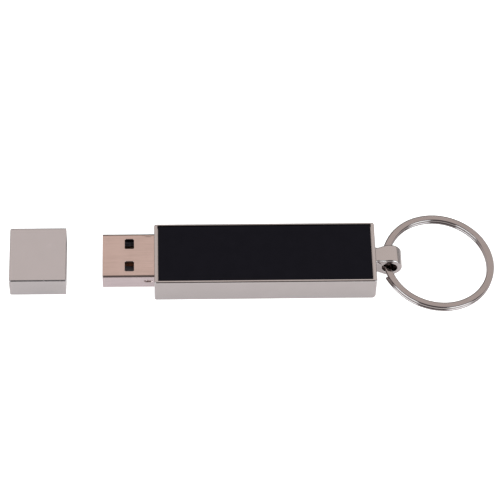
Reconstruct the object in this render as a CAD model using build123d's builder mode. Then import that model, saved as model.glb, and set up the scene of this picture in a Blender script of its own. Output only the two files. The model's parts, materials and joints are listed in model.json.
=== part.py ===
from build123d import *
import os
from math import acos, atan2, cos, hypot, radians, sin

# USB flash drive with a lift-off cap and a split key ring.
# Frame: origin at the centre of the case's underside, +Z up, +X towards the
# key ring, plug towards -X. Millimetres.

os.makedirs("parts", exist_ok=True)

# -------------------------------------------------------- shared dimensions
# die-cast case
case_l, case_w, case_h = 50.3, 16.1, 7.0
x_plug_end, x_tail_end = -case_l / 2, case_l / 2
rim_end, rim_side = 0.76, 0.45      # metal rim round the panel: ends, sides
wall_end, wall_side = 1.50, 1.45    # walls below the ledge
ledge_z = 6.39                      # step that carries the panel
floor_t = 0.90
seat_l, seat_w = case_l - 2 * rim_end, case_w - 2 * rim_side
hollow_l, hollow_w = case_l - 2 * wall_end, case_w - 2 * wall_side

# black face panel
panel_gap = 0.12
panel_recess = 0.25
panel_t = 0.30
panel_l, panel_w = seat_l - 2 * panel_gap, seat_w - 2 * panel_gap
panel_bottom = case_h - panel_recess - panel_t

# USB-A plug
plug_w, plug_h = 12.0, 4.5
plug_t = 0.30
plug_r = 0.75
plug_z = 4.10           # height of the plug's axis
plug_out = 11.70        # length outside the case
plug_tip = x_plug_end - plug_out
plug_back = -18.80
plug_inner_w, plug_inner_h = plug_w - 2 * plug_t, plug_h - 2 * plug_t
plug_inner_r = plug_r - plug_t

# circuit board
board_l, board_w, board_t = 38.0, 11.90, 0.80
board_x0, board_z0 = -18.40, 2.50
board_x = board_x0 + board_l / 2
board_top = board_z0 + board_t

# key-ring eye, cast in one with the case
eye_x, eye_z = 28.40, 3.50

# ------------------------------------------------------------- key-ring eye
eye_r = 2.85
eye_hole_d = 3.50
eye_hole_edge_r = 0.12
eye_edge_r = 0.38
eye_half_w = 2.30       # half widths along Y, at the eye and at the case
neck_half_w = 1.90
neck_low, neck_high = 1.50, 5.60
root_depth = 0.6        # how far the neck runs into the case


def tangent_point(x, z, side):
    """Where a straight line from (x, z) just touches the round of the eye."""
    dx, dz = x - eye_x, z - eye_z
    angle = atan2(dz, dx) + side * acos(eye_r / hypot(dx, dz))
    return (eye_x + eye_r * cos(angle), eye_z + eye_r * sin(angle))


def on_line(start, end, x):
    """The point at x on the straight line through start and end."""
    return (x, start[1] + (end[1] - start[1]) * (x - start[0]) / (end[0] - start[0]))


def make_eye():
    root_x = x_tail_end - root_depth
    # straight flanks run from the round of the eye to the case
    touch_low = tangent_point(x_tail_end, neck_low, 1)
    touch_high = tangent_point(x_tail_end, neck_high, -1)
    root_low = on_line(touch_low, (x_tail_end, neck_low), root_x)
    root_high = on_line(touch_high, (x_tail_end, neck_high), root_x)
    # where the narrowing seen from above starts and stops
    narrow_x, full_x = x_tail_end - 0.1, eye_x - 0.5
    end_x = eye_x + eye_r + 0.25

    with BuildPart() as eye:
        with BuildSketch(Plane.XZ):
            with BuildLine():
                nose = ThreePointArc(touch_low, (eye_x + eye_r, eye_z), touch_high)
                Polyline(nose @ 1, root_high, root_low, nose @ 0)
            make_face()
        extrude(amount=eye_half_w + 0.7, both=True)
        # seen from above, the eye narrows smoothly towards the case
        with BuildSketch(Plane.XY):
            with BuildLine():
                low_y_side = Spline(
                    [(narrow_x, -neck_half_w), (full_x, -eye_half_w)],
                    tangents=[(1, 0), (1, 0)],
                )
                Polyline(
                    low_y_side @ 1,
                    (end_x, -eye_half_w),
                    (end_x, eye_half_w),
                    (full_x, eye_half_w),
                )
                high_y_side = Spline(
                    [(full_x, eye_half_w), (narrow_x, neck_half_w)],
                    tangents=[(-1, 0), (-1, 0)],
                )
                Polyline(
                    high_y_side @ 1,
                    (root_x, neck_half_w),
                    (root_x, -neck_half_w),
                    low_y_side @ 0,
                )
            make_face()
        extrude(amount=case_h + 1, mode=Mode.INTERSECT)
        # edges of the two side faces, outside the case
        fillet(
            [
                edge
                for edge in eye.edges()
                if abs(edge.center().Y) > neck_half_w - 0.05
                and edge.bounding_box().size.Y < 1.0
                and edge.center().X > x_tail_end - 0.5
            ],
            eye_edge_r,
        )
        with Locations(Plane.XZ):
            with Locations((eye_x, eye_z)):
                Hole(eye_hole_d / 2, depth=6.0)
        fillet(
            eye.edges()
            .filter_by(GeomType.CIRCLE)
            .filter_by(lambda edge: abs(edge.radius - eye_hole_d / 2) < 0.01),
            eye_hole_edge_r,
        )
    return eye.part


# --------------------------------------------------------------------- case
case_corner_r = 0.45
case_top_r = 0.30
case_bottom_r = 0.35
tail_bottom_r = 1.05
rim_inner_r = 0.12
hollow_r = 0.5
slot_gap = 0.05         # between the plug and the case's slot, each side
slot_w, slot_h = plug_w + 2 * slot_gap, plug_h + 2 * slot_gap
notch_l = 1.0           # opening in the ledge above the plug


def make_case_body():
    eye = make_eye()
    with BuildPart() as case_body:
        with BuildSketch(Plane.XY):
            Rectangle(case_l, case_w)
        extrude(amount=case_h)
        fillet(
            case_body.edges().filter_by(Axis.Y).group_by(Axis.X)[-1].sort_by(Axis.Z)[0],
            tail_bottom_r,
        )
        fillet(case_body.edges().filter_by(Axis.Z), case_corner_r)
        fillet(case_body.faces().sort_by(Axis.Z)[0].edges(), case_bottom_r)
        fillet(case_body.faces().sort_by(Axis.Z)[-1].edges(), case_top_r)
        add(eye)
        # seat for the panel
        with BuildSketch(Plane.XY.offset(ledge_z)):
            Rectangle(seat_l, seat_w)
        extrude(amount=case_h, mode=Mode.SUBTRACT)
        # hollow for the board, cut a little past the ledge
        with BuildSketch(Plane.XY.offset(floor_t)):
            RectangleRounded(hollow_l, hollow_w, hollow_r)
        extrude(amount=ledge_z - floor_t + 0.2, mode=Mode.SUBTRACT)
        # slot that the plug comes out of
        with BuildSketch(Plane.YZ.offset(x_plug_end - 0.5)):
            with Locations((0, plug_z)):
                RectangleRounded(slot_w, slot_h, plug_r)
        extrude(amount=2.5, mode=Mode.SUBTRACT)
        # the ledge is open above the plug
        with BuildSketch(Plane.XY.offset(plug_z)):
            with Locations((x_plug_end + rim_end + notch_l / 2, 0)):
                Rectangle(notch_l, slot_w)
        extrude(amount=4.0, mode=Mode.SUBTRACT)
        # softened inner edge of the rim
        fillet(
            [
                edge
                for edge in case_body.edges()
                if abs(edge.center().Z - case_h) < 0.001
                and abs(edge.center().X) < seat_l / 2 + 0.01
                and abs(edge.center().Y) < seat_w / 2 + 0.01
            ],
            rim_inner_r,
        )
    return case_body.part


# --------------------------------------------------------------- face panel
panel_corner_r = 0.15
panel_chamfer = 0.06
tape_t = 0.06
tape_trim = 0.1         # tape is smaller than the panel by this, in all


def make_face_panel():
    with BuildPart() as face_panel:
        with BuildSketch(Plane.XY.offset(panel_bottom)):
            RectangleRounded(panel_l, panel_w, panel_corner_r)
        extrude(amount=panel_t)
        chamfer(face_panel.faces().sort_by(Axis.Z)[-1].edges(), panel_chamfer)
    return face_panel.part


def make_panel_tape():
    """Adhesive film under the panel's edge."""
    with BuildPart() as panel_tape:
        with BuildSketch(Plane.XY.offset(ledge_z)):
            Rectangle(panel_l - tape_trim, panel_w - tape_trim)
            Rectangle(hollow_l + tape_trim, hollow_w + tape_trim, mode=Mode.SUBTRACT)
        extrude(amount=tape_t)
    return panel_tape.part


# --------------------------------------------------------------- plug shell
window_x, window_y = 2.05, 2.60
window_r = 0.2
window_from_tip = 6.08
window_pitch = 2 * 3.07
oval_l, oval_h = 2.2, 0.8       # small oval stamped in each side wall
oval_depth = 0.08
oval_from_case = 1.10
oval_rise = 0.55                # above the plug's axis
tab_l, tab_h = 2.45, 1.2
tab_overlap = 0.05              # tab runs into the shell
tab_inset = 0.07
lip_r = 0.09


def make_plug_shell():
    with BuildPart() as plug_shell:
        with BuildSketch(Plane.YZ.offset(plug_tip)):
            with Locations((0, plug_z)):
                RectangleRounded(plug_w, plug_h, plug_r)
                RectangleRounded(plug_inner_w, plug_inner_h, plug_inner_r, mode=Mode.SUBTRACT)
        extrude(amount=plug_back - plug_tip)
        # two latch windows above and two below
        with BuildSketch(Plane.XY):
            with Locations((plug_tip + window_from_tip, 0)):
                with GridLocations(1, window_pitch, 1, 2):
                    RectangleRounded(window_x, window_y, window_r)
        extrude(amount=case_h, mode=Mode.SUBTRACT)
        # ovals, partly hidden by the case
        for side in (1, -1):
            with BuildSketch(Plane.XZ.offset(side * (plug_w / 2 - oval_depth))):
                with Locations((x_plug_end - oval_from_case, plug_z + oval_rise)):
                    SlotOverall(oval_l, oval_h)
            extrude(amount=side * 0.5, mode=Mode.SUBTRACT)
        # rear tabs that are soldered down on the board
        tab_x = plug_back + tab_l / 2 - tab_overlap
        tab_y = plug_w / 2 - plug_t / 2 - tab_inset
        for side in (1, -1):
            with BuildSketch(Plane.XY.offset(board_top)):
                with Locations((tab_x, side * tab_y)):
                    Rectangle(tab_l, plug_t)
            extrude(amount=tab_h)
        # softened lip round the mouth
        fillet(plug_shell.faces().sort_by(Axis.X)[0].edges(), lip_r)
    return plug_shell.part


# ------------------------------------------------- plug insulator, contacts
tongue_w = 10.48
tongue_low = plug_z - plug_h / 2 + plug_t
tongue_top = plug_z - 0.05
tongue_front = plug_tip + 0.45
tongue_chamfer = 0.35
insulator_back = plug_back - 0.1
block_front = x_plug_end - 1.2
block_trim = 0.04               # block is smaller than the shell's bore, in all
block_drop = 0.02               # block's centre below the plug's axis
block_r = plug_inner_r + 0.06
contact_t, contact_w = 0.20, 1.0
contact_z0 = tongue_top - 0.12  # floor of the contact grooves
groove_h = contact_t + 0.02
groove_w = contact_w + 0.04
groove_l = 20
outer_setback, middle_setback = 1.3, 2.3    # contact's front from the plug tip
contact_ys = {
    "contact_vbus": -3.5,
    "contact_data_minus": -1.0,
    "contact_data_plus": 1.0,
    "contact_ground": 3.5,
}


def make_plug_insulator():
    """Plastic tongue and rear block that carry the contacts."""
    with BuildPart() as plug_insulator:
        # tongue
        with BuildSketch(Plane.YZ.offset(tongue_front)):
            with Locations((0, (tongue_low + tongue_top) / 2)):
                Rectangle(tongue_w, tongue_top - tongue_low)
        extrude(amount=insulator_back - tongue_front)
        chamfer(
            plug_insulator.faces().sort_by(Axis.X)[0].edges().sort_by(Axis.Z)[-1],
            tongue_chamfer,
        )
        # rear block
        with BuildSketch(Plane.YZ.offset(block_front)):
            with Locations((0, plug_z - block_drop)):
                RectangleRounded(plug_inner_w - block_trim, plug_inner_h - block_trim, block_r)
        extrude(amount=insulator_back - block_front)
        # grooves and tunnels for the four contacts
        for y in contact_ys.values():
            with BuildSketch(Plane.YZ.offset(plug_tip)):
                with Locations((y, contact_z0 + groove_h / 2)):
                    Rectangle(groove_w, groove_h)
            extrude(amount=groove_l, mode=Mode.SUBTRACT)
    return plug_insulator.part


def make_contact(y):
    """Sprung strip along the tongue, stepping down onto the board at its back."""
    front = plug_tip + (outer_setback if abs(y) > 2 else middle_setback)
    with BuildPart() as strip:
        with BuildSketch(Plane.XZ.offset(-y)):
            with BuildLine():
                # x, z
                Polyline(
                    (front, contact_z0),
                    (plug_back + 0.1, contact_z0),
                    (plug_back + 0.75, board_top),
                    (plug_back + 2.2, board_top),
                    (plug_back + 2.2, board_top + contact_t),
                    (plug_back + 0.85, board_top + contact_t),
                    (plug_back + 0.2, contact_z0 + contact_t),
                    (front + 0.25, contact_z0 + contact_t),
                    (front, contact_z0 + contact_t / 2),
                    close=True,
                )
            make_face()
        extrude(amount=contact_w / 2, both=True)
    return strip.part


# --------------------------------------------------------------- board tray
tray_x0, tray_x1 = -23.40, 20.40
tray_w = hollow_w - 2 * 0.03
tray_r = 0.55
tray_top = 5.1
bed_gap = 0.04                  # beds are wider than plug and board by this
plug_bed_x0, plug_bed_x1 = tray_x0 - 2.0, board_x0 - 0.15
board_bed_x0, board_bed_l = board_x0 - 0.2, board_l + 0.25
low_wall_h = 1.2                # side walls beside the board, above its underside
low_cut_l, low_cut_w = 50, 20
tray_cut_h = 5                  # cuts run out through the top of the tray
relief_depth = 0.4
relief_l, relief_w = board_l - 5, board_w - 3.2


def make_board_tray():
    with BuildPart() as board_tray:
        with BuildSketch(Plane.XY.offset(floor_t)):
            with Locations(((tray_x0 + tray_x1) / 2, 0)):
                RectangleRounded(tray_x1 - tray_x0, tray_w, tray_r)
        extrude(amount=tray_top - floor_t)
        # bed for the plug
        with BuildSketch(Plane.XY.offset(plug_z - plug_h / 2)):
            with Locations(((plug_bed_x0 + plug_bed_x1) / 2, 0)):
                Rectangle(plug_bed_x1 - plug_bed_x0, plug_w + bed_gap)
        extrude(amount=tray_cut_h, mode=Mode.SUBTRACT)
        # bed for the board
        with BuildSketch(Plane.XY.offset(board_z0)):
            with Locations((board_bed_x0 + board_bed_l / 2, 0)):
                Rectangle(board_bed_l, board_w + bed_gap)
        extrude(amount=tray_cut_h, mode=Mode.SUBTRACT)
        # lower side walls beside the board
        with BuildSketch(Plane.XY.offset(board_z0 + low_wall_h)):
            with Locations((board_x0 + low_cut_l / 2, 0)):
                Rectangle(low_cut_l, low_cut_w)
        extrude(amount=tray_cut_h, mode=Mode.SUBTRACT)
        # relief under the board for soldered joints
        with BuildSketch(Plane.XY.offset(board_z0 - relief_depth)):
            with Locations((board_x, 0)):
                Rectangle(relief_l, relief_w)
        extrude(amount=1.0, mode=Mode.SUBTRACT)
    return board_tray.part


# ------------------------------------------------------------ circuit board
board_corner_r = 0.3
board_hole_r = 0.4
board_hole_inset = 1.2


def make_circuit_board():
    with BuildPart() as circuit_board:
        with BuildSketch(Plane.XY.offset(board_z0)):
            with Locations((board_x, 0)):
                RectangleRounded(board_l, board_w, board_corner_r)
                with GridLocations(
                    board_l - 2 * board_hole_inset, board_w - 2 * board_hole_inset, 2, 2
                ):
                    Circle(board_hole_r, mode=Mode.SUBTRACT)
        extrude(amount=board_t)
    return circuit_board.part


# --------------------------------------------------------------- controller
chip_x = -9.6
chip_size = 7.0
chip_standoff, chip_h = 0.08, 1.0
chip_corner_chamfer, chip_top_chamfer = 0.25, 0.1
chip_dimple_r, chip_dimple_depth = 0.35, 0.1
chip_dimple_offset = 2.5        # from the chip's centre, both ways
lead_w, lead_pitch, leads_per_side = 0.22, 0.5, 12
# gull-wing lead: distance from the chip's centre, height above the board
lead_outline = [
    (3.50, 0.50), (3.85, 0.50), (4.05, 0.13), (4.50, 0.13),
    (4.50, 0.00), (3.95, 0.00), (3.76, 0.37), (3.50, 0.37),
]


def make_controller_chip():
    with BuildPart() as controller_chip:
        with BuildSketch(Plane.XY.offset(board_top + chip_standoff)):
            with Locations((chip_x, 0)):
                Rectangle(chip_size, chip_size)
        extrude(amount=chip_h)
        chamfer(controller_chip.edges().filter_by(Axis.Z), chip_corner_chamfer)
        chamfer(controller_chip.faces().sort_by(Axis.Z)[-1].edges(), chip_top_chamfer)
        # pin 1 dimple
        with Locations(
            (
                chip_x - chip_dimple_offset,
                -chip_dimple_offset,
                board_top + chip_standoff + chip_h,
            )
        ):
            Cylinder(
                chip_dimple_r,
                chip_dimple_depth,
                align=(Align.CENTER, Align.CENTER, Align.MAX),
                mode=Mode.SUBTRACT,
            )
    return controller_chip.part


def make_lead():
    with BuildPart() as lead:
        with BuildSketch(Plane.XZ):
            with BuildLine():
                Polyline(*[(x, board_top + z) for x, z in lead_outline], close=True)
            make_face()
        extrude(amount=lead_w / 2, both=True)
    return lead.part


def make_controller_leads():
    """One lead repeated along the four sides of the chip."""
    lead = make_lead()
    with BuildPart() as controller_leads:
        with Locations((chip_x, 0, 0)):
            for turn in range(4):
                with Locations(Rotation(0, 0, 90 * turn)):
                    with GridLocations(1, lead_pitch, 1, leads_per_side):
                        add(lead)
    return controller_leads.part


# ------------------------------------------------- flash memory and its pad
flash_x = 4.6
flash_l, flash_w, flash_h = 13.0, 11.5, 0.85
flash_chamfer = 0.08
flash_dimple_r, flash_dimple_depth = 0.4, 0.08
flash_dimple_inset = 1.0        # from the package's edges
ball_r, ball_h, ball_pitch = 0.24, 0.22, 1.6
flash_top = board_top + ball_h + flash_h
foam_l, foam_w, foam_r = 11.0, 9.0, 0.8


def make_flash_chip():
    with BuildPart() as flash_chip:
        with BuildSketch(Plane.XY.offset(board_top + ball_h)):
            with Locations((flash_x, 0)):
                Rectangle(flash_l, flash_w)
        extrude(amount=flash_h)
        chamfer(flash_chip.faces().sort_by(Axis.Z)[-1].edges(), flash_chamfer)
        # round dimple in one corner
        with Locations(
            (
                flash_x - flash_l / 2 + flash_dimple_inset,
                -flash_w / 2 + flash_dimple_inset,
                flash_top,
            )
        ):
            Cylinder(
                flash_dimple_r,
                flash_dimple_depth,
                align=(Align.CENTER, Align.CENTER, Align.MAX),
                mode=Mode.SUBTRACT,
            )
    return flash_chip.part


def make_flash_balls():
    with BuildPart() as flash_balls:
        with BuildSketch(Plane.XY.offset(board_top)):
            with Locations((flash_x, 0)):
                with GridLocations(ball_pitch, ball_pitch, 7, 6):
                    Circle(ball_r)
        extrude(amount=ball_h)
    return flash_balls.part


def make_foam_pad():
    """Foam block between the memory chip and the panel."""
    with BuildPart() as foam_pad:
        with BuildSketch(Plane.XY.offset(flash_top)):
            with Locations((flash_x, 0)):
                RectangleRounded(foam_l, foam_w, foam_r)
        extrude(amount=panel_bottom - flash_top)
    return foam_pad.part


# ------------------------------------------------------------------ crystal
crystal_spot = (14.6, -2.6)
crystal_l, crystal_w = 3.2, 5.0     # along X, along Y
crystal_base_h, crystal_base_r = 0.45, 0.25
can_inset = 0.2
can_h, can_corner_r, can_top_r = 0.5, 0.5, 0.15


def make_crystal_base():
    """Ceramic base."""
    with BuildPart() as crystal_base:
        with BuildSketch(Plane.XY.offset(board_top)):
            with Locations(crystal_spot):
                RectangleRounded(crystal_l, crystal_w, crystal_base_r)
        extrude(amount=crystal_base_h)
    return crystal_base.part


def make_crystal_can():
    """Metal lid on the base."""
    with BuildPart() as crystal_can:
        with BuildSketch(Plane.XY.offset(board_top + crystal_base_h)):
            with Locations(crystal_spot):
                RectangleRounded(
                    crystal_l - 2 * can_inset, crystal_w - 2 * can_inset, can_corner_r
                )
        extrude(amount=can_h)
        fillet(crystal_can.faces().sort_by(Axis.Z)[-1].edges(), can_top_r)
    return crystal_can.part


# ------------------------------------------------------------ chip passives
# body length, width and height, length of each plated end, places (x, y)
passives = {
    "chip_capacitors": (
        1.0, 0.8, 0.75, 0.3,
        [(-14.9, 4.9), (-14.9, -4.9), (-3.4, 4.9), (13.2, 3.0), (17.6, 3.0)],
    ),
    "chip_resistors": (
        1.0, 0.8, 0.45, 0.3,
        [(-3.4, 2.6), (-3.4, -2.6), (-3.4, -4.9), (13.2, 4.9), (17.6, 4.9)],
    ),
    "ferrite_bead": (1.2, 1.25, 0.85, 0.4, [(17.9, -1.4)]),
}
plating_rise = 0.02     # plated ends stand this much above the body


def make_passive_bodies(name):
    length, width, height, _, spots = passives[name]
    with BuildPart() as bodies:
        with BuildSketch(Plane.XY.offset(board_top)):
            with Locations(*spots):
                Rectangle(length, width)
        extrude(amount=height)
    return bodies.part


def make_end_terminals():
    """Plated ends of all the passives."""
    with BuildPart() as end_terminals:
        for length, width, height, end_l, spots in passives.values():
            with BuildSketch(Plane.XY.offset(board_top)):
                with Locations(*spots):
                    with GridLocations(length + end_l, 1, 2, 1):
                        Rectangle(end_l, width)
            extrude(amount=height + plating_rise)
    return end_terminals.part


# ---------------------------------------------------------------------- cap
cap_l, cap_w, cap_h = 12.80, 14.70, 5.70
cap_corner_r, cap_end_r, cap_rim_r = 0.40, 0.39, 0.15
cap_mouth_w, cap_mouth_h = 12.74, 5.04
cap_mouth_r, cap_mouth_edge_r = 0.45, 0.12
cap_end_t = 0.60
cap_mouth_x = -45.10    # open end of the cap, lying off the plug
cap_x0 = cap_mouth_x - cap_l
liner_x0 = cap_x0 + cap_end_t
liner_t = 0.30          # thickness across the closed end
liner_setback = 0.30
liner_clearance = 0.02  # liner is smaller than the cap's bore, in all
liner_open_w, liner_open_h, liner_open_r = 12.10, 4.60, 0.55


def make_cap_shell():
    with BuildPart() as cap_shell:
        with BuildSketch(Plane.YZ.offset(cap_x0)):
            with Locations((0, plug_z)):
                RectangleRounded(cap_w, cap_h, cap_corner_r)
        extrude(amount=cap_l)
        fillet(cap_shell.faces().sort_by(Axis.X)[0].edges(), cap_end_r)
        fillet(cap_shell.faces().sort_by(Axis.X)[-1].edges(), cap_rim_r)
        with BuildSketch(Plane.YZ.offset(liner_x0)):
            with Locations((0, plug_z)):
                RectangleRounded(cap_mouth_w, cap_mouth_h, cap_mouth_r)
        extrude(amount=cap_l, mode=Mode.SUBTRACT)
        # inner edge of the mouth
        fillet(
            [
                edge
                for edge in cap_shell.edges()
                if abs(edge.center().X - cap_mouth_x) < 0.001
                and abs(edge.center().Y) < cap_mouth_w / 2 + 0.01
                and abs(edge.center().Z - plug_z) < cap_mouth_h / 2 + 0.01
            ],
            cap_mouth_edge_r,
        )
    return cap_shell.part


def make_cap_liner():
    with BuildPart() as cap_liner:
        with BuildSketch(Plane.YZ.offset(liner_x0)):
            with Locations((0, plug_z)):
                RectangleRounded(
                    cap_mouth_w - liner_clearance, cap_mouth_h - liner_clearance, cap_mouth_r
                )
        extrude(amount=cap_l - cap_end_t - liner_setback)
        with BuildSketch(Plane.YZ.offset(liner_x0 + liner_t)):
            with Locations((0, plug_z)):
                RectangleRounded(liner_open_w, liner_open_h, liner_open_r)
        extrude(amount=cap_l, mode=Mode.SUBTRACT)
    return cap_liner.part


# --------------------------------------------------------------- split ring
# Two flat turns of wire joined by a short step; the step lies in the eye and
# the two cut ends lie just outside it, one on each side.
ring_od, ring_id = 25.6, 22.5
ring_mean_r = (ring_od + ring_id) / 4
wire_w, wire_h = (ring_od - ring_id) / 2, 0.80
wire_r = 0.32           # rounding of the wire's edges
turn_gap = 0.04
half_pitch = (wire_h + turn_gap) / 2
step_half_deg = 10.5
end_deg = 20.5
turn_deg = 360 - end_deg - step_half_deg
step_sections = 8
ring_z = 3.30           # height of the wire where it passes through the eye
ring_to_eye = 11.40     # ring's centre from the eye's axis
ring_drop_deg = 5.93    # far side of the ring rests on the table


def across(deg):
    """Plane that cuts the wire square on at an angle round the ring, local y up."""
    angle = radians(deg)
    return Plane(
        origin=(0, 0, 0),
        x_dir=(cos(angle), sin(angle), 0),
        z_dir=(sin(angle), -cos(angle), 0),
    )


def make_split_ring():
    with BuildPart() as split_ring:
        # lower turn, then upper turn
        for start_deg, height in ((end_deg, -half_pitch), (step_half_deg, half_pitch)):
            with BuildSketch(across(180 + start_deg)):
                with Locations((ring_mean_r, height)):
                    RectangleRounded(wire_w, wire_h, wire_r)
            revolve(axis=Axis.Z, revolution_arc=turn_deg)
        # the step from one turn to the other, level at both ends
        for n in range(step_sections + 1):
            t = n / step_sections
            rise = half_pitch * (2 * t**3 * (10 - 15 * t + 6 * t * t) - 1)
            with BuildSketch(across(180 + step_half_deg * (2 * t - 1))):
                with Locations((ring_mean_r, rise)):
                    RectangleRounded(wire_w, wire_h, wire_r)
        loft()
    tilt_at_eye = Location((eye_x, 0, ring_z), (0, ring_drop_deg, 0))
    return tilt_at_eye * Location((ring_to_eye, 0, 0)) * split_ring.part


# -------------------------------------------------------------------- files
parts = {
    "case_body": make_case_body(),
    "face_panel": make_face_panel(),
    "panel_tape": make_panel_tape(),
    "plug_shell": make_plug_shell(),
    "plug_insulator": make_plug_insulator(),
    **{name: make_contact(y) for name, y in contact_ys.items()},
    "board_tray": make_board_tray(),
    "circuit_board": make_circuit_board(),
    "controller_chip": make_controller_chip(),
    "controller_leads": make_controller_leads(),
    "flash_chip": make_flash_chip(),
    "flash_balls": make_flash_balls(),
    "crystal_base": make_crystal_base(),
    "crystal_can": make_crystal_can(),
    **{name: make_passive_bodies(name) for name in passives},
    "end_terminals": make_end_terminals(),
    "foam_pad": make_foam_pad(),
    "cap_shell": make_cap_shell(),
    "cap_liner": make_cap_liner(),
    "split_ring": make_split_ring(),
}
for name, part in parts.items():
    part.label = name
    export_step(part, f"parts/{name}.step")
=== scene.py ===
"""Nickel-plated stick with a steel plug, a cap and a split key ring.

The stick lies flat along X with its case centred on the origin and its underside on Z = 0.
The plug points towards -X; the eye and the split ring are at +X. The cap is on the same
axis, its mouth towards +X. Front is -Y, where the camera is, and back is +Y.
Lengths are in millimetres, multiplied by MM where they reach the scene.
"""
import bpy
import bmesh
import json
import math
from mathutils import Vector, Matrix


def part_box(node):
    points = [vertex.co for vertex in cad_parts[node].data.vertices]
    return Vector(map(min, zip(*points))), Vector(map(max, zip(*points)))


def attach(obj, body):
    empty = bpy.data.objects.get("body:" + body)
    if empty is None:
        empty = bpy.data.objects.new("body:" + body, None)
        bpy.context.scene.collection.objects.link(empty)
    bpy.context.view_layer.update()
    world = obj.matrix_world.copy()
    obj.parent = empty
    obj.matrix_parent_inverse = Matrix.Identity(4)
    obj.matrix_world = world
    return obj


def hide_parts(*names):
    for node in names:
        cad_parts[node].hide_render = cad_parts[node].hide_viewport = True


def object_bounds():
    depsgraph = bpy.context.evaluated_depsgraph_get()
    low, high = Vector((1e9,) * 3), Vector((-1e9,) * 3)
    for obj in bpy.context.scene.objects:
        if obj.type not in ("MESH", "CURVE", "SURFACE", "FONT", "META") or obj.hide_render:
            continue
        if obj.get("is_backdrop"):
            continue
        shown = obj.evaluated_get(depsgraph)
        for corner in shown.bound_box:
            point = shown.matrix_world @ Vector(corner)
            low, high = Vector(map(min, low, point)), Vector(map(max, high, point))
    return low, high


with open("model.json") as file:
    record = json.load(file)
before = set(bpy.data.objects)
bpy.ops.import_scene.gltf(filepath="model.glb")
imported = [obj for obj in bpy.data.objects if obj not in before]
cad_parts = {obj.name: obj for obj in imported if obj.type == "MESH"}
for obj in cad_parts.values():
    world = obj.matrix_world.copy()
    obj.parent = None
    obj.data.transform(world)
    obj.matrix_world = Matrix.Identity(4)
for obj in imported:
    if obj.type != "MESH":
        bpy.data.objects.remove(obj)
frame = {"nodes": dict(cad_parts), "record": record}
nodes = frame["nodes"]
cad_low, cad_high = (Vector(corner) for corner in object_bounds())
scene = bpy.context.scene
MM = 0.001


def box_mm(name):
    """Low and high corners of a CAD piece, in millimetres."""
    return [Vector(corner) * 1000 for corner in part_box(name)]


# ------------------------------------------------------------------ shader nodes
class Graph:
    """An emptied node tree. Inputs may be sockets, numbers or tuples."""

    def __init__(self, tree):
        self.tree = tree
        for node in list(tree.nodes):
            tree.nodes.remove(node)

    def feed(self, node, inputs):
        for key, value in inputs.items():
            socket = node.inputs[key]
            if isinstance(value, bpy.types.NodeSocket):
                self.tree.links.new(value, socket)
            else:
                socket.default_value = (*value, 1.0) if socket.type == "RGBA" else value

    def node(self, kind, inputs=None, **settings):
        node = self.tree.nodes.new("ShaderNode" + kind)
        for key, value in settings.items():
            setattr(node, key, value)
        self.feed(node, inputs or {})
        return node

    def coords(self, stretch=(1, 1, 1), turn=(0, 0, 0)):
        """Object coordinates in millimetres, times stretch."""
        place = self.node("TexCoord").outputs["Object"]
        scale = tuple(1000.0 * s for s in stretch)
        return self.node("Mapping", {"Vector": place, "Scale": scale, "Rotation": turn}).outputs[0]

    def split(self, vector):
        return self.node("SeparateXYZ", {0: vector}).outputs

    def axis(self, which):
        """One object coordinate, in millimetres."""
        return self.times(self.split(self.node("TexCoord").outputs["Object"])[which], 1000.0)

    def geometry(self, output):
        return self.split(self.node("NewGeometry").outputs[output])

    def camera_ray(self):
        return self.node("LightPath").outputs["Is Camera Ray"]

    def noise(self, vector, scale, detail=4.0, rough=0.55):
        return self.node("TexNoise", {"Vector": vector, "Scale": scale, "Detail": detail,
                                      "Roughness": rough}).outputs["Fac"]

    def ramp(self, value, span, out=(0.0, 1.0), curve="LINEAR"):
        """Map value from span to out, held at both ends."""
        return self.node("MapRange", {"Value": value, "From Min": span[0], "From Max": span[1],
                                      "To Min": out[0], "To Max": out[1]},
                         interpolation_type=curve).outputs[0]

    def smooth(self, value, span):
        return self.ramp(value, span, curve="SMOOTHSTEP")

    def mix(self, factor, first, second):
        """Blend two colours; 0, 6, 7 and output 2 are the colour sockets of the node."""
        return self.node("Mix", {0: factor, 6: first, 7: second}, data_type="RGBA").outputs[2]

    def math(self, operation, first, second=0.0):
        return self.node("Math", {0: first, 1: second}, operation=operation).outputs[0]

    def plus(self, first, second):
        return self.math("ADD", first, second)

    def minus(self, first, second):
        return self.math("SUBTRACT", first, second)

    def times(self, first, second):
        return self.math("MULTIPLY", first, second)

    def shade(self, colour, factor):
        return self.node("VectorMath", {0: colour, "Scale": factor}, operation="SCALE").outputs[0]

    def bump(self, height, strength, depth, normal=None):
        inputs = {"Strength": strength, "Distance": depth * MM, "Height": height}
        if normal is not None:
            inputs["Normal"] = normal
        return self.node("Bump", inputs).outputs[0]

    def edge_mask(self, corners):
        """1 along the edges of a box given by two corners, 0 in the middle of its faces."""
        depth = []
        for which, low, high in zip("XYZ", *corners):
            middle, half = (low + high) / 2, (high - low) / 2
            off = self.math("ABSOLUTE", self.minus(self.axis(which), middle))
            depth.append(self.minus(off, half))
        least = self.math("MINIMUM", depth[0], depth[1])
        most = self.math("MAXIMUM", depth[0], depth[1])
        second = self.math("MAXIMUM", least, self.math("MINIMUM", most, depth[2]))
        return self.ramp(second, span=(-0.5, -0.08))


def new_material(name):
    material = bpy.data.materials.new(name)
    material.use_nodes = True
    graph = Graph(material.node_tree)
    output = graph.node("OutputMaterial")
    shader = graph.node("BsdfPrincipled")
    graph.feed(output, {0: shader.outputs[0]})
    return material, graph, shader


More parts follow.
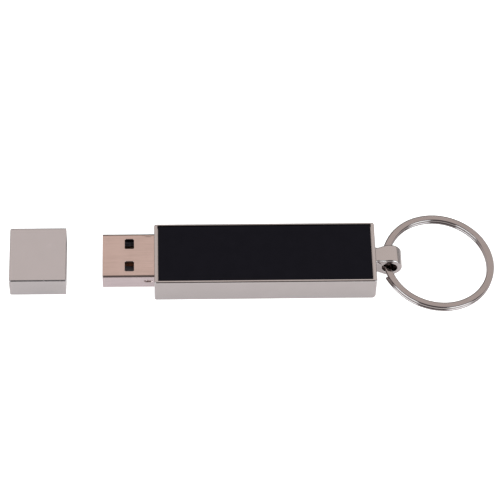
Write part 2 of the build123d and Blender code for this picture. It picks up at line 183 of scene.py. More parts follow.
def metal(name, base, dark, rough=(0.12, 0.26), grain=(1, 1, 1), grain_scale=9.0, grain_bump=0.05,
          scratch=0.06, haze=0.35, edges=None, top=None, streak=0.0, bend=0.0, deep=None):
    """Plated or brushed metal: tone drift, roughness clouds, fine grain and hairlines.

    base, dark    the two ends of the tone drift; top is such a pair for faces turned up, painted light that tones the upper faces apart from the rest
    rough         roughness range; haze adds to it with the grain
    grain         stretch of the grain, with its scale and bump
    streak, bend  strength of the long streaks and of the painted shade, a dark line along the back
    edge of the top
    edges         corners of the box whose edges are rubbed bright
    streak, bend  strength of the long streaks and of the dull line along the back of the top
    deep          (X span, colour): painted shade, the colour reached at the far end of that span
    """
    material, graph, shader = new_material(name)
    place = graph.coords()
    grain_place = graph.coords(grain)
    clouds = graph.noise(place, scale=0.22, detail=5, rough=0.6)
    fine = graph.noise(grain_place, grain_scale, detail=6, rough=0.65)
    hair_a = graph.noise(graph.coords(stretch=(0.18, 5.5, 2.2), turn=(0, 0, 0.35)),
                         scale=3.2, detail=3, rough=0.7)
    hair_b = graph.noise(graph.coords(stretch=(4.8, 0.22, 2.0), turn=(0, 0, -0.2)),
                         scale=2.7, detail=3, rough=0.7)
    drift = graph.ramp(clouds, span=(0.35, 0.68))
    grain_mask = graph.ramp(fine, span=(0.35, 0.66))
    drift_share, grain_share = 0.7, 0.3
    tone = graph.plus(graph.times(drift, drift_share), graph.times(grain_mask, grain_share))
    colour = graph.mix(tone, dark, base)
    # painted light: faces turned up get their own colour pair, toned for how the light falls on them
    if top is not None:
        painted_top_colour = graph.mix(tone, top[1], top[0])
        facing_up = graph.ramp(graph.geometry("Normal")["Z"], span=(0.25, 0.85))
        colour = graph.mix(facing_up, colour, painted_top_colour)
    if streak:
        long_grain = graph.noise(graph.coords(stretch=(0.035, 1.6, 1.6)),
                                 scale=4.0, detail=4, rough=0.7)
        colour = graph.shade(colour, graph.ramp(long_grain, span=(0.30, 0.70),
                                                out=(1.0 - streak, 1.0 + streak)))
    # painted shade: a dark line where faces tilt back along the top's back edge
    if bend:
        normal = graph.geometry("Normal")
        line = graph.times(graph.ramp(normal["Y"], span=(0.03, 0.16)),
                           graph.ramp(normal["Z"], span=(0.30, 0.50)))
        colour = graph.shade(colour, graph.minus(1.0, graph.times(line, bend)))
    roughness = graph.ramp(clouds, span=(0.3, 0.7), out=rough)
    roughness = graph.plus(roughness, graph.times(grain_mask, haze * 0.1))
    if edges is not None:
        brightening, rub_tint, rub_rough = 1.22, 0.45, 0.06
        patches = graph.noise(place, scale=1.3, detail=5, rough=0.7)
        rub = graph.times(graph.edge_mask(edges), graph.ramp(patches, span=(0.42, 0.66)))
        bright = tuple(min(c * brightening, 1.0) for c in base)
        colour = graph.mix(graph.times(rub, rub_tint), colour, bright)
        roughness = graph.plus(roughness, graph.times(rub, rub_rough))
    # painted shade: the colour darkens along the X span, deeper inside the plug
    if deep is not None:
        painted_shade_span, painted_shade_colour = deep
        colour = graph.mix(graph.ramp(graph.axis("X"), painted_shade_span), colour, painted_shade_colour)
    grained = graph.bump(fine, grain_bump, depth=0.02)
    hairs = graph.plus(graph.ramp(hair_a, span=(0.66, 0.72)), graph.ramp(hair_b, span=(0.67, 0.73)))
    graph.feed(shader, {"Base Color": colour, "Metallic": 1.0, "Roughness": roughness,
                        "Normal": graph.bump(hairs, scratch, depth=0.01, normal=grained)})
    return material


def plastic(name, base, light, rough=(0.35, 0.5), spec=0.4, grain_scale=14.0, grain_bump=0.15):
    """Non-metal with a cloudy drift from base to light and a fine grain."""
    material, graph, shader = new_material(name)
    place = graph.coords()
    clouds = graph.noise(place, scale=0.3, detail=4, rough=0.6)
    fine = graph.noise(place, grain_scale, detail=4, rough=0.6)
    graph.feed(shader, {
        "Base Color": graph.mix(graph.ramp(clouds, span=(0.35, 0.7)), base, light),
        "Roughness": graph.ramp(clouds, span=(0.3, 0.7), out=rough),
        "Specular IOR Level": spec,
        "Normal": graph.bump(fine, grain_bump, depth=0.02)})
    return material


# ------------------------------------------------------------------ materials
nickel = metal(
    "nickel_plate", base=(0.405, 0.357, 0.353), dark=(0.388, 0.342, 0.338), rough=(0.07, 0.12),
    grain_scale=16.0, grain_bump=0.03, scratch=0.05, edges=((-25.15, -8.05, 0.0), (25.15, 8.05, 7.0)))
cap_nickel = metal(
    "nickel_plate_cap", base=(0.405, 0.362, 0.362), dark=(0.385, 0.345, 0.345), rough=(0.16, 0.26),
    grain_scale=16.0, grain_bump=0.03, scratch=0.05,
    # painted light: the cap's faces turned up take a lighter tone
    top=((0.445, 0.400, 0.410), (0.415, 0.375, 0.382)),
    edges=[[c * 1000 for c in corner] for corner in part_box("cap_shell")])
contact_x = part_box("plug_shell")[0][0] * 1000
by_slot = {
    "plated_metal": nickel,
    # painted light: the plug steel's faces turned up take a warmer, darker tone
    "plug_steel": metal(
        "plug_steel", base=(0.476, 0.389, 0.397), dark=(0.436, 0.355, 0.362), rough=(0.12, 0.20),
        grain=(0.06, 2.6, 2.6), grain_scale=6.0, grain_bump=0.08, scratch=0.08, haze=0.5,
        # painted shade: bend darkens a line along the back edge of the plug's top
        top=((0.490, 0.362, 0.330), (0.440, 0.322, 0.292)), streak=0.07, bend=0.92),
    "ring_steel": metal(
        "ring_steel", base=(0.332, 0.284, 0.280), dark=(0.300, 0.255, 0.250), rough=(0.06, 0.12),
        grain_scale=12.0, grain_bump=0.02, scratch=0.05),
    "tinned_metal": metal(
        "tinned_metal", base=(0.60, 0.60, 0.59), dark=(0.48, 0.48, 0.47), rough=(0.22, 0.36)),
    # painted shade: the gold is bright at the tip and darkens to dull brown further in, where the
    # plug's inside lies in shade
    "gold_contact": metal(
        "gold_plate", base=(0.86, 0.60, 0.22), dark=(0.74, 0.48, 0.15), rough=(0.16, 0.28),
        grain=(0.1, 2.0, 2.0), grain_scale=8.0,
        deep=((contact_x + 3.4, contact_x + 4.8), (0.42, 0.26, 0.17))),
    "black_panel": plastic(
        "panel_black", base=(0.0030, 0.0026, 0.0060), light=(0.0042, 0.0036, 0.0074),
        rough=(0.16, 0.24), spec=0.06, grain_scale=22.0, grain_bump=0.02),
    "black_insulator": plastic(
        "black_insulator", base=(0.15, 0.14, 0.16), light=(0.19, 0.18, 0.20),
        rough=(0.30, 0.42), spec=0.6),
    "adhesive_film": plastic(
        "adhesive_film", base=(0.02, 0.02, 0.02), light=(0.035, 0.034, 0.032),
        rough=(0.5, 0.65), spec=0.2),
    "black_foam": plastic(
        "foam_black", base=(0.03, 0.03, 0.032), light=(0.055, 0.055, 0.058),
        rough=(0.85, 0.95), spec=0.1, grain_scale=5.0, grain_bump=0.8),
    "chip_black": plastic(
        "chip_black", base=(0.020, 0.020, 0.022), light=(0.032, 0.032, 0.034),
        rough=(0.55, 0.7), spec=0.3),
    "ceramic_body": plastic(
        "ceramic_body", base=(0.42, 0.30, 0.19), light=(0.52, 0.40, 0.28),
        rough=(0.45, 0.6), spec=0.4),
    "board_green": plastic(
        "board_green", base=(0.012, 0.11, 0.045), light=(0.02, 0.16, 0.07),
        rough=(0.25, 0.4), spec=0.5, grain_scale=4.0),
}
slot_of = {part["node"]: part["material_slot"] for part in frame["record"]["subparts"]}
for name, piece in nodes.items():
    piece.data.materials.clear()
    piece.data.materials.append(by_slot[slot_of[name]])
nodes["cap_shell"].data.materials[0] = cap_nickel


# ---------------------------------------------------------------- mesh helpers
def rounded_rect(width, height, radius, steps=8, cx=0.0, cy=0.0, mid_w=0, mid_h=0):
    """Rounded rectangle, anticlockwise; mid_w and mid_h add points along its sides."""
    arcs = []
    for sx, sy, start in ((1, 1, 0), (-1, 1, 90), (-1, -1, 180), (1, -1, 270)):
        angles = [math.radians(start + 90.0 * k / steps) for k in range(steps + 1)]
        arcs.append([(cx + sx * (width / 2 - radius) + radius * math.cos(a),
                      cy + sy * (height / 2 - radius) + radius * math.sin(a)) for a in angles])
    points = []
    for i, arc in enumerate(arcs):
        points += arc
        (x0, y0), (x1, y1) = arc[-1], arcs[(i + 1) % 4][0]
        count = mid_h if i % 2 else mid_w
        for k in range(1, count + 1):
            t = k / (count + 1)
            points.append((x0 + (x1 - x0) * t, y0 + (y1 - y0) * t))
    return points


def level(points, z):
    return [(x, y, z) for x, y in points]


def upright(points, x):
    return [(x, y, z) for y, z in points]


def quarter_round(radius, steps=5):
    """Pairs round a quarter circle: the first goes 0 to radius, the second radius to 0."""
    angles = [math.radians(90.0 * k / steps) for k in range(steps + 1)]
    return [(radius * (1 - math.cos(a)), radius * (1 - math.sin(a))) for a in angles]


def ease(t):
    """Smooth step from 0 to 1."""
    t = min(max(t, 0.0), 1.0)
    return t * t * (3 - 2 * t)


def skin(name, rings, loop=False):
    """Quads through rings of points; closed by flat ends, or back to the first ring."""
    build = bmesh.new()
    rows = [[build.verts.new(Vector(point) * MM) for point in ring] for ring in rings]
    count = len(rows[0])
    for i in range(len(rows) if loop else len(rows) - 1):
        this, after = rows[i], rows[(i + 1) % len(rows)]
        for j in range(count):
            k = (j + 1) % count
            build.faces.new((this[j], this[k], after[k], after[j]))
    if not loop:
        build.faces.new(list(reversed(rows[0])))
        build.faces.new(rows[-1])
    bmesh.ops.remove_doubles(build, verts=build.verts, dist=2e-7)
    bmesh.ops.recalc_face_normals(build, faces=build.faces)
    mesh = bpy.data.meshes.new(name)
    build.to_mesh(mesh)
    build.free()
    piece = bpy.data.objects.new(name, mesh)
    scene.collection.objects.link(piece)
    return piece


def carve(piece, steps):
    """Apply a list of (operation, tool) to the piece and remove the tools."""
    for operation, tool in steps:
        boolean = piece.modifiers.new(operation.lower(), "BOOLEAN")
        boolean.operation = operation
        boolean.solver = "EXACT"
        boolean.object = tool
    bpy.context.view_layer.update()
    depsgraph = bpy.context.evaluated_depsgraph_get()
    mesh = bpy.data.meshes.new_from_object(piece.evaluated_get(depsgraph))
    piece.modifiers.clear()
    uncut = piece.data
    piece.data = mesh
    bpy.data.meshes.remove(uncut)
    mesh.name = piece.name
    for _, tool in steps:
        bpy.data.objects.remove(tool, do_unlink=True)
    build = bmesh.new()
    build.from_mesh(mesh)
    bmesh.ops.remove_doubles(build, verts=build.verts, dist=5e-7)
    bmesh.ops.dissolve_degenerate(build, edges=build.edges, dist=5e-7)
    build.to_mesh(mesh)
    build.free()


def finish_piece(piece, slot, body, replaced, angle=38.0, material=None):
    """Shade the piece, creased above angle, and put it in place of a CAD node."""
    mesh = piece.data
    mesh.materials.clear()
    mesh.materials.append(material or by_slot[slot])
    mesh.shade_smooth()
    mesh.set_sharp_from_angle(angle=math.radians(angle))
    normals = piece.modifiers.new("even_normals", "WEIGHTED_NORMAL")
    normals.mode = "FACE_AREA"
    normals.keep_sharp = True
    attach(piece, body)
    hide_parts(replaced)


# ------------------------------------------------------------------ case body
PLUG_W, PLUG_H, PLUG_R, PLUG_Z = 12.0, 4.5, 0.62, 4.10
PLUG_PLAY = 0.10                        # added to the plug's size in the openings round it

case_low, case_high = box_mm("case_body")
CASE_X0 = case_low.x
CASE_L, CASE_W, CASE_H = 2 * abs(CASE_X0), case_high.y - case_low.y, case_high.z
TAIL_X = CASE_X0 + CASE_L
CORNER_R, TOP_R, BOTTOM_R, TAIL_R = 0.45, 0.31, 0.30, 0.90
FRONT_LIP = 0.12                        # the front wall stands this much thicker than the back one
RIM_END, RIM_SIDE, RIM_IN = 0.76, 0.45, 0.06    # rim widths, and the round of its inner edge
POCKET_R = 0.16
LEDGE_Z, FLOOR_Z = 6.39, 0.90
HOLLOW_END, HOLLOW_SIDE, HOLLOW_R = 3.0, 2.9, 0.5   # the hollow is this much smaller than the case


def case_ring(z, inset, tail=0.0):
    """Level outline of the case, drawn in by inset and, at the tail, by tail."""
    x0, x1 = CASE_X0 + inset, TAIL_X - max(inset, tail)
    return level(rounded_rect(x1 - x0, CASE_W + FRONT_LIP - 2 * inset,
                              max(CORNER_R - 0.5 * inset, 0.12),
                              cx=(x0 + x1) / 2, cy=-FRONT_LIP / 2), z)


def pocket_ring(z, grow):
    return level(rounded_rect(CASE_L - 2 * RIM_END + 2 * grow, CASE_W - 2 * RIM_SIDE + 2 * grow,
                              POCKET_R + grow), z)


def edge_inset(radius, z):
    """How far a bottom edge of this radius draws in at height z."""
    return radius - math.sqrt(max(radius ** 2 - (radius - min(z, radius)) ** 2, 0))


def make_casting():
    """Outside from the bottom up, over the rim, then down the pocket and the hollow."""
    pairs = quarter_round(BOTTOM_R, 5) + quarter_round(TAIL_R, 10)
    heights = sorted({round(rise, 5) for rise, _ in pairs})
    rings = [case_ring(z, edge_inset(BOTTOM_R, z), edge_inset(TAIL_R, z)) for z in heights]
    rings += [case_ring(CASE_H - drop, inset) for inset, drop in quarter_round(TOP_R, 6)]
    rings += [pocket_ring(CASE_H - drop, grow) for drop, grow in quarter_round(RIM_IN)]
    rings.append(pocket_ring(LEDGE_Z, 0))
    hollow = rounded_rect(CASE_L - HOLLOW_END, CASE_W - HOLLOW_SIDE, HOLLOW_R)
    rings += [level(hollow, LEDGE_Z), level(hollow, FLOOR_Z)]
    return skin("case_casting", rings)


# key-ring eye with its neck: an outline in X and Z swept across Y, its edges rounded
EYE_X, EYE_Z, EYE_R, HOLE_R = 28.40, 3.50, 2.85, 1.75
EYE_HALF, NECK_HALF = 2.30, 1.90        # half widths in Y
NECK_LOW, NECK_HIGH = 1.50, 5.60        # heights of the neck at the case
FLARE = 0.52                            # radius of the hollow curve at the root of the neck
ROOT_TUCK, ROOT_DEPTH = 0.02, 0.8       # how far the curve and the neck reach into the case
EYE_EDGE_R, BORE_R = 0.38, 0.12
BORE_DEPTH = 1.2                        # depth of the innermost hole ring below each face


def tangent_point(z, side):
    """Angle and point where a line from the case end at height z touches the eye."""
    dx, dz = TAIL_X - EYE_X, z - EYE_Z
    angle = math.atan2(dz, dx) + side * math.acos(EYE_R / math.hypot(dx, dz))
    return angle, (EYE_X + EYE_R * math.cos(angle), EYE_Z + EYE_R * math.sin(angle))


def flank(touch, root_z, x):
    """Height at x of the straight line from the touching point to the case end."""
    return touch[1] + (root_z - touch[1]) * (touch[0] - x) / (touch[0] - TAIL_X)


def swell(x):
    """Hollow curve where the neck meets the end of the case."""
    curve_end = TAIL_X + FLARE - ROOT_TUCK
    if x >= curve_end:
        return 0.0
    return FLARE - math.sqrt(max(FLARE ** 2 - min(curve_end - x, FLARE - 0.003) ** 2, 0.0))


def eye_outline():
    """(x, z) round the eye, along the top of the neck to the case and back underneath."""
    low_angle, low_touch = tangent_point(NECK_LOW, 1)
    high_angle, high_touch = tangent_point(NECK_HIGH, -1)
    arc_steps, neck_steps, root_steps = 96, 10, 8
    outline = []
    for k in range(arc_steps + 1):
        a = low_angle + (high_angle - low_angle) * k / arc_steps
        outline.append((EYE_X + EYE_R * math.cos(a), EYE_Z + EYE_R * math.sin(a)))
    straight = high_touch[0] - TAIL_X - FLARE
    stations = [high_touch[0] - straight * k / neck_steps for k in range(1, neck_steps + 1)]
    stations += [TAIL_X + FLARE * math.cos(math.radians(a)) - ROOT_TUCK for a in range(10, 81, 10)]
    stations = sorted({round(x, 4) for x in stations})
    top = [(x, flank(high_touch, NECK_HIGH, x) + swell(x)) for x in reversed(stations)]
    under = [(x, flank(low_touch, NECK_LOW, x) - swell(x)) for x in stations]
    root_top, root_low = top[-1][1], under[0][1]
    root = [(TAIL_X - ROOT_DEPTH, root_top + (root_low - root_top) * k / root_steps)
            for k in range(root_steps + 1)]
    return outline + top + root + under


def eye_half(x):
    """Half width of the neck and eye at x."""
    widening = ease((x - TAIL_X) / (EYE_X - 0.5 - TAIL_X))
    return NECK_HALF + (EYE_HALF - NECK_HALF) * widening + swell(max(x, TAIL_X - ROOT_TUCK))


def inward(points, distance):
    moved = []
    for i, (x, z) in enumerate(points):
        (x0, z0), (x1, z1) = points[i - 1], points[(i + 1) % len(points)]
        dx, dz = x1 - x0, z1 - z0
        length = math.hypot(dx, dz) or 1.0
        moved.append((x - distance * dz / length, z + distance * dx / length))
    return moved


def eye_ring(outline, side, inset, drop):
    """Outline drawn in by inset, its face drop below full width."""
    return [(x, side * (eye_half(full_x) - drop), z)
            for (x, z), (full_x, _) in zip(inward(outline, inset), outline)]


def hole_ring(outline, side, grow, drop):
    """Ring of the hole with a point facing each point of the outline."""
    points = []
    radius = HOLE_R + grow
    for x, z in outline:
        a = math.atan2(z - EYE_Z, x - EYE_X)
        hole_x = EYE_X + radius * math.cos(a)
        points.append((hole_x, side * (eye_half(max(hole_x, EYE_X - 3.0)) - drop),
                       EYE_Z + radius * math.sin(a)))
    return points


def make_eye():
    outline = eye_outline()
    rings = []
    for side in (-1, 1):
        half = [hole_ring(outline, side, 0.0, BORE_DEPTH)]
        half += [hole_ring(outline, side, grow, drop)
                 for drop, grow in reversed(quarter_round(BORE_R, 3))]
        half += [eye_ring(outline, side, inset, drop)
                 for drop, inset in quarter_round(EYE_EDGE_R, 6)]
        rings += half if side < 0 else reversed(half)
    return skin("eye_tool", rings, loop=True)


SLOT_H, SLOT_Z = 4.575, 4.0875
# (distance inwards from the plug end of the case, growth): the outer edge is slightly broken
SLOT_STATIONS = ((-0.5, 0.13), (0, 0.13), (0.04, 0.06), (0.13, 0.0), (1.6, 0.0))


def make_slot():
    """Tool for the opening the plug passes through."""
    return skin("slot_tool", [
        upright(rounded_rect(PLUG_W + PLUG_PLAY + 2 * grow, SLOT_H + 2 * grow, PLUG_R + grow,
                             cy=SLOT_Z), CASE_X0 + depth)
        for depth, grow in SLOT_STATIONS])


case = make_casting()
carve(case, [("UNION", make_eye()), ("DIFFERENCE", make_slot())])
finish_piece(case, "plated_metal", "stick", "case_body")


# ----------------------------------------------------------------- face panel
PANEL_EXTRA = 0.02                      # added to the CAD length and width
PANEL_R, PANEL_EDGE_R = 0.20, 0.07
PANEL_FOOT, PANEL_FOOT_R = 0.10, 0.16   # the underside is this much smaller; its corner radius


def make_panel():
    low, high = box_mm("face_panel")
    length, width = high.x - low.x + PANEL_EXTRA, high.y - low.y + PANEL_EXTRA
    rings = [level(rounded_rect(length - PANEL_FOOT, width - PANEL_FOOT, PANEL_FOOT_R), low.z)]
    for inset, drop in quarter_round(PANEL_EDGE_R):
        rings.append(level(rounded_rect(length - 2 * inset, width - 2 * inset, PANEL_R - inset),
                           high.z - drop))
    return skin("gloss_panel", rings)


finish_piece(make_panel(), "black_panel", "stick", "face_panel")


# ----------------------------------------------------------------- plug shell
plug_low, plug_high = box_mm("plug_shell")
TIP_X, PLUG_BACK_X = plug_low.x, plug_high.x
SHEET, LIP_R = 0.30, 0.10               # wall thickness, and the round of its edges at the tip
# oval stamping in each side wall, with a small boss inside it
STAMP_X, STAMP_Z = CASE_X0 - 1.35, PLUG_Z + 0.50
STAMP_FLAT, STAMP_R, STAMP_SLOPE, STAMP_DEPTH = 0.52, 0.50, 0.13, 0.26
BOSS_X, BOSS_R, BOSS_SLOPE, BOSS_HEIGHT = STAMP_X - 0.36, 0.30, 0.18, 0.20
# two windows each in the top and the underside, with a rolled outer edge
WINDOW_L, WINDOW_W, WINDOW_R, WINDOW_ROLL = 2.05, 2.60, 0.28, 0.11
WINDOW_X, WINDOW_Y = TIP_X + 6.08, 3.07
WINDOW_REACH = (1.7, PLUG_H / 2 + 0.4)  # the tool runs between these distances from mid plug
# folded seam along the underside: (x from the tip, y)
SEAM_TABLE = ((-0.2, 0.0), (3.2, 0.0), (3.2, 0.55), (4.6, 0.9), (4.6, -0.1),
              (8.4, -0.1), (8.4, 0.9), (9.8, 0.55), (9.8, 0.0))
SEAM = [(TIP_X + x, y) for x, y in SEAM_TABLE] + [(CASE_X0 + 0.6, 0.0)]
SEAM_HALF, SEAM_SPAN = 0.03, (-0.3, 0.10)   # half width; heights about the underside
# shallow drag mark on the top beside the case; heights are about the top
MARK_L, MARK_W, MARK_R, MARK_SPAN = 1.25, 0.17, 0.06, (-0.10, 0.2)
MARK_X, MARK_Y = CASE_X0 - 1.35, 5.0


def stamp(x, y, z):
    """Move a point of a side wall by the stamping and its boss."""
    off = math.hypot(max(abs(x - STAMP_X) - STAMP_FLAT, 0.0), z - STAMP_Z)
    oval = ease((STAMP_R - off) / STAMP_SLOPE)
    boss = ease((BOSS_R - math.hypot(x - BOSS_X, z - STAMP_Z)) / BOSS_SLOPE)
    return (x, y - math.copysign(STAMP_DEPTH * oval - BOSS_HEIGHT * boss, y), z)


def tube_ring(x, inset=0.0):
    section = rounded_rect(PLUG_W - 2 * inset, PLUG_H - 2 * inset, PLUG_R - inset,
                           mid_w=6, mid_h=44)
    return [(x, y, z + PLUG_Z) for y, z in section]


def make_tube():
    rings = [tube_ring(TIP_X + back, SHEET - grow) for grow, back in quarter_round(LIP_R)]
    rings += [tube_ring(TIP_X + back, inset) for back, inset in quarter_round(LIP_R)]
    stations = [TIP_X + 2.0, TIP_X + 4.0, TIP_X + 8.5, STAMP_X - 1.35]
    stations += [STAMP_X - 1.30 + 2.6 * k / 44 for k in range(45)]
    stations += [STAMP_X + 1.40, CASE_X0 + 2.0]
    for x in stations:
        rings.append([stamp(*point) if abs(point[1]) > PLUG_W / 2 - 0.02 else point
                      for point in tube_ring(x)])
    back_x = PLUG_BACK_X - 0.001
    rings += [tube_ring(back_x), tube_ring(back_x, SHEET)]
    return skin("plug_sheet", rings, loop=True)


def make_window(side_y, side_z):
    inner, outer = WINDOW_REACH
    stations = [(inner, 0.0)]
    stations += [(PLUG_H / 2 - drop, grow) for grow, drop in quarter_round(WINDOW_ROLL)]
    stations.append((outer, WINDOW_ROLL))
    return skin("window_tool", [
        level(rounded_rect(WINDOW_L + 2 * grow, WINDOW_W + 2 * grow, WINDOW_R + grow,
                           cx=WINDOW_X, cy=side_y * WINDOW_Y), PLUG_Z + side_z * height)
        for height, grow in stations])


def make_seam():
    """Narrow strip along the seam line, mitred at its corners."""
    normals = []
    for (x0, y0), (x1, y1) in zip(SEAM, SEAM[1:]):
        along = Vector((x1 - x0, y1 - y0)).normalized()
        normals.append(Vector((-along.y, along.x)))
    left, right = [], []
    for i, (x, y) in enumerate(SEAM):
        before, after = normals[max(i - 1, 0)], normals[min(i, len(normals) - 1)]
        mitre = (before + after).normalized()
        reach = SEAM_HALF / max(mitre.dot(before), 0.4)
        left.append((x + mitre.x * reach, y + mitre.y * reach))
        right.append((x - mitre.x * reach, y - mitre.y * reach))
    strip = left + right[::-1]
    return skin("seam_tool", [level(strip, PLUG_Z - PLUG_H / 2 + z) for z in SEAM_SPAN])


def make_mark():
    mark = rounded_rect(MARK_L, MARK_W, MARK_R, steps=4, cx=MARK_X, cy=MARK_Y)
    return skin("mark_tool", [level(mark, PLUG_Z + PLUG_H / 2 + z) for z in MARK_SPAN])


shell = make_tube()
cutters = [make_window(side_y, side_z) for side_y in (1, -1) for side_z in (1, -1)]
cutters += [make_seam(), make_mark()]
carve(shell, [("DIFFERENCE", cutter) for cutter in cutters])
finish_piece(shell, "plug_steel", "stick", "plug_shell")


# ------------------------------------------------------------------------ cap
cap_low, cap_high = box_mm("cap_shell")
CAP_SIZE = (cap_high.y - cap_low.y, cap_high.z - cap_low.z)
CAP_Z = (cap_low.z + cap_high.z) / 2
CAP_R, CAP_END_R, CAP_RIM_R = 0.42, 0.36, 0.15  # corners, closed end and outer rim of the mouth
CAP_BORE, CAP_BORE_R, CAP_MOUTH_R = (12.74, 5.04), 0.45, 0.12
CAP_END_WALL = 0.60
LINER_R, LINER_RIM_R, LINER_MOUTH_R = 0.45, 0.10, 0.14
LINER_BORE, LINER_BORE_R = (PLUG_W + PLUG_PLAY, PLUG_H + PLUG_PLAY), 0.55
LINER_END_WALL = 0.30


def cap_ring(x, size, radius, grow=0.0):
    return upright(rounded_rect(size[0] + 2 * grow, size[1] + 2 * grow, radius, steps=10,
                                cy=CAP_Z), x)


def bore_rings(mouth_x, end_x, size, radius, mouth_r):
    """Rounded inner edge of the mouth, then straight in to the end."""
    rings = [cap_ring(mouth_x - back, size, radius + grow, grow)
             for back, grow in quarter_round(mouth_r)]
    return rings + [cap_ring(end_x, size, radius)]


def make_cap():
    rings = [cap_ring(cap_low.x + back, CAP_SIZE, max(CAP_R - 0.55 * inset, 0.10), -inset)
             for inset, back in reversed(quarter_round(CAP_END_R, 8))]
    rings += [cap_ring(cap_high.x - back, CAP_SIZE, CAP_R - inset, -inset)
              for inset, back in quarter_round(CAP_RIM_R)]
    rings += bore_rings(cap_high.x, cap_low.x + CAP_END_WALL, CAP_BORE, CAP_BORE_R, CAP_MOUTH_R)
    return skin("cap_sleeve", rings)


def make_liner():
    low, high = box_mm("cap_liner")
    size = (high.y - low.y, high.z - low.z)
    rings = [cap_ring(low.x, size, LINER_R)]
    rings += [cap_ring(high.x - back, size, LINER_R, -inset)
              for inset, back in quarter_round(LINER_RIM_R, 4)]
    rings += bore_rings(high.x, low.x + LINER_END_WALL, LINER_BORE, LINER_BORE_R, LINER_MOUTH_R)
    return skin("cap_lining", rings)


finish_piece(make_cap(), "plated_metal", "cap", "cap_shell", material=cap_nickel)
finish_piece(make_liner(), "black_insulator", "cap", "cap_liner")

# ----------------------------------------------------------------- split ring
COIL_R, WIRE_W, WIRE_H, WIRE_R = 12.08, 1.65, 0.80, 0.399
HALF_PITCH = (WIRE_H + 0.04) / 2        # the two turns lie 0.04 apart
# degrees: half the step between turns, and each cut end's distance from the eye's side
STEP_HALF, NEAR_END, FAR_END = 10.5, 20.5, 14.0
START = 180 + NEAR_END
FIRST_TURN = 360 - NEAR_END - STEP_HALF
WIRE_TOTAL = FIRST_TURN + 2 * STEP_HALF + 360 - FAR_END - STEP_HALF
END_SPAN = 26.0                         # degrees of wire bent at each cut end
START_BEND, FINISH_BEND = (0.26, -0.10), (0.10, 0.05)   # (outwards, upwards)
NOSE_R = 0.12                           # softened cut ends
WIRE_STEPS = 420
TILT, EYE_TO_COIL, RING_Z = 5.93, 11.40, 3.30   # degrees down towards +X, then lengths
RING_PLACE = (Matrix.Translation(Vector((EYE_X, 0, RING_Z)))
              @ Matrix.Rotation(math.radians(TILT), 4, "Y")
              @ Matrix.Translation(Vector((EYE_TO_COIL, 0, 0))))


def wire_at(s):
    """Angle, radius and height of the wire's middle, s degrees along it."""
    t = min(max((s - FIRST_TURN) / (2 * STEP_HALF), 0.0), 1.0)
    height = HALF_PITCH * (2 * t ** 3 * (10 - 15 * t + 6 * t * t) - 1)
    radius = COIL_R
    for distance, (out, rise) in ((s, START_BEND), (WIRE_TOTAL - s, FINISH_BEND)):
        bend = max(1 - distance / END_SPAN, 0.0) ** 2
        radius += out * bend
        height += rise * bend
    return math.radians(START + s), radius, height


def wire_ring(s, inset=0.0):
    angle, radius, height = wire_at(s)
    section = rounded_rect(WIRE_W - 2 * inset, WIRE_H - 2 * inset, max(WIRE_R - inset, 0.05),
                           steps=7, mid_w=1)
    return [tuple(RING_PLACE @ Vector(((radius + out) * math.cos(angle),
                                       (radius + out) * math.sin(angle), height + rise)))
            for out, rise in section]


def make_split_ring():
    nose = [(math.degrees(along / COIL_R), inset) for along, inset in quarter_round(NOSE_R, 4)]
    rings = [wire_ring(along, inset) for along, inset in nose]
    rings += [wire_ring(WIRE_TOTAL * k / WIRE_STEPS) for k in range(1, WIRE_STEPS)]
    rings += [wire_ring(WIRE_TOTAL - along, inset) for along, inset in reversed(nose)]
    return skin("key_ring_wire", rings)


finish_piece(make_split_ring(), "ring_steel", "ring", "split_ring", angle=60.0)


# ---------------------------------------------------------------------- floor
def floor_material():
    """Pale paper, dimmer to mirrored rays behind the object, most of all straight behind."""
    material, graph, shader = new_material("floor_paper")
    glow = 0.95
    fall = graph.ramp(graph.axis("Y"), span=(0.0, 9.0), out=(0.82, 0.50))
    toward_back = graph.times(graph.geometry("Incoming")["Y"], -1.0)
    straight = graph.ramp(toward_back, span=(0.66, 0.84))
    straight = graph.times(straight, graph.ramp(graph.axis("Y"), span=(4.0, 16.0), out=(0.0, 0.75)))
    fall = graph.times(fall, graph.minus(1.0, straight))
    seen = graph.math("MAXIMUM", fall, graph.camera_ray())
    clouds = graph.noise(graph.coords(), scale=0.02, detail=3, rough=0.5)
    paper = graph.mix(clouds, (0.60, 0.60, 0.60), (0.62, 0.62, 0.62))
    graph.feed(shader, {"Base Color": graph.mix(seen, (0.0, 0.0, 0.0), paper),
                        "Roughness": 0.9, "Specular IOR Level": 0.0,
                        "Emission Color": (1, 1, 1), "Emission Strength": graph.times(seen, glow)})
    return material


def make_floor():
    half_size, gap = 2.0, 0.00002       # metres; the gap keeps it just below the object
    mesh = bpy.data.meshes.new("floor")
    build = bmesh.new()
    bmesh.ops.create_grid(build, x_segments=2, y_segments=2, size=half_size)
    build.to_mesh(mesh)
    build.free()
    floor = bpy.data.objects.new("floor", mesh)
    mesh.materials.append(floor_material())
    floor.location.z = cad_low.z - gap
    scene.collection.objects.link(floor)
    floor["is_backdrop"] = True


make_floor()

# ---------------------------------------------------------------------- world
SKY_LEVEL, AMBIENT = 0.92, 0.18
BOX_TURNS = ((-75, -28), (26, 63))      # degrees from -Y, plus towards +X
BOX_LOW, BOX_HIGH, BOX_STRENGTH = 0, 42, 4.2    # heights in degrees
TINTS = (("Red", 1.03, 0.86), ("Green", 0.985, 1.0), ("Blue", 0.925, 1.03))  # sky, boxes


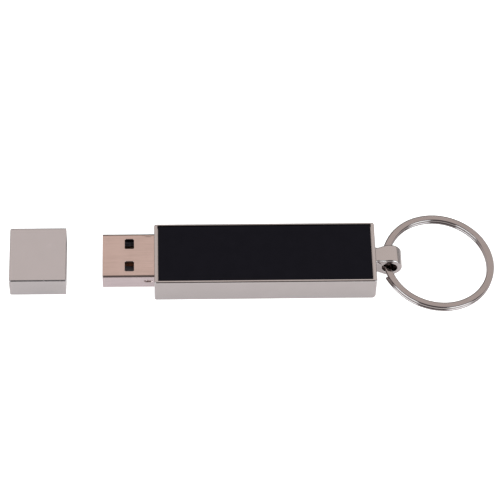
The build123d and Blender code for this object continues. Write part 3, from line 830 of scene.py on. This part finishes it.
def softbox(graph, view, left, right):
    """Soft-edged light between two compass angles."""
    compass = graph.math("ARCTAN2", view["X"], graph.times(view["Y"], -1.0))
    turn = graph.times(compass, 57.29578)   # radians to degrees
    mask = graph.times(graph.smooth(turn, span=(left - 2.5, left + 2.5)),
                       graph.smooth(turn, span=(right + 3.0, right - 3.0)))
    foot, foot_end, head = (math.sin(math.radians(a)) for a in (BOX_LOW, BOX_LOW + 4, BOX_HIGH))
    mask = graph.times(mask, graph.smooth(view["Z"], span=(foot, foot_end)))
    mask = graph.times(mask, graph.smooth(view["Z"], span=(head, head - 0.08)))
    return graph.times(mask, BOX_STRENGTH)


def make_world():
    """Sky on the back half with a dark patch low behind, two softboxes, white to the camera."""
    world = bpy.data.worlds.new("studio")
    scene.world = world
    world.use_nodes = True
    graph = Graph(world.node_tree)
    output = graph.node("OutputWorld")
    background = graph.node("Background", {"Strength": 1.0})
    graph.feed(output, {0: background.outputs[0]})
    view = graph.split(graph.node("TexCoord").outputs["Generated"])
    behind = graph.smooth(view["Y"], span=(-0.10, 0.16))
    above = graph.smooth(view["Z"], span=(-0.02, 0.24))
    patch = graph.times(graph.smooth(view["Y"], span=(0.70, 0.84)),
                        graph.smooth(view["Z"], span=(0.66, 0.48)))
    sky = graph.times(graph.times(behind, above),
                      graph.minus(SKY_LEVEL, graph.times(patch, SKY_LEVEL)))
    boxes = graph.plus(*(softbox(graph, view, *turns) for turns in BOX_TURNS))
    light = graph.node("CombineColor")
    for channel, sky_tint, box_tint in TINTS:
        tinted = graph.plus(graph.times(sky, sky_tint), graph.times(boxes, box_tint))
        graph.feed(light, {channel: graph.plus(tinted, AMBIENT)})
    shown = graph.mix(graph.camera_ray(), light.outputs[0], (1.0, 1.0, 1.0))
    graph.feed(background, {"Color": shown})


def make_lamp():
    """Broad soft lamp high behind, for a little shape; sizes in metres."""
    lamp = bpy.data.lights.new("soft_key", "AREA")
    lamp.shape = "RECTANGLE"
    lamp.size, lamp.size_y = 0.6, 0.4
    lamp.energy = 0.3
    holder = bpy.data.objects.new("soft_key", lamp)
    holder.location = (-0.25, 0.35, 0.7)
    toward = Vector((0, 0, 0)) - holder.location
    holder.rotation_euler = toward.to_track_quat("-Z", "Y").to_euler()
    scene.collection.objects.link(holder)
    holder.visible_glossy = False


make_world()
make_lamp()

# --------------------------------------------------------------------- camera
SENSOR_W, FOCAL_LENGTH = 36.0, 203.880384
CAMERA_YAW, CAMERA_DOWN, CAMERA_ROLL = 2.91726, 55.23849, 1.89315   # degrees
CAMERA_TARGET, CAMERA_DISTANCE = Vector((-3.2688, 3.0578, 3.5)), 647.101


def make_camera():
    lens = bpy.data.cameras.new("camera")
    lens.sensor_width = SENSOR_W
    lens.lens = FOCAL_LENGTH
    lens.clip_start, lens.clip_end = 0.05, 10.0
    camera = bpy.data.objects.new("camera", lens)
    yaw, down, roll = (math.radians(a) for a in (CAMERA_YAW, CAMERA_DOWN, CAMERA_ROLL))
    forward = Vector((math.sin(yaw) * math.cos(down), math.cos(yaw) * math.cos(down),
                      -math.sin(down)))
    flat_right = Vector((math.cos(yaw), -math.sin(yaw), 0.0))
    flat_up = flat_right.cross(forward)
    right = flat_right * math.cos(roll) + flat_up * math.sin(roll)
    up = -flat_right * math.sin(roll) + flat_up * math.cos(roll)
    place = CAMERA_TARGET * MM - forward * CAMERA_DISTANCE * MM
    rows = zip(right, up, -forward, place)
    camera.matrix_world = Matrix((*rows, (0, 0, 0, 1)))
    scene.collection.objects.link(camera)
    scene.camera = camera


make_camera()
scene.view_settings.view_transform = "Standard"
scene.view_settings.look = "None"
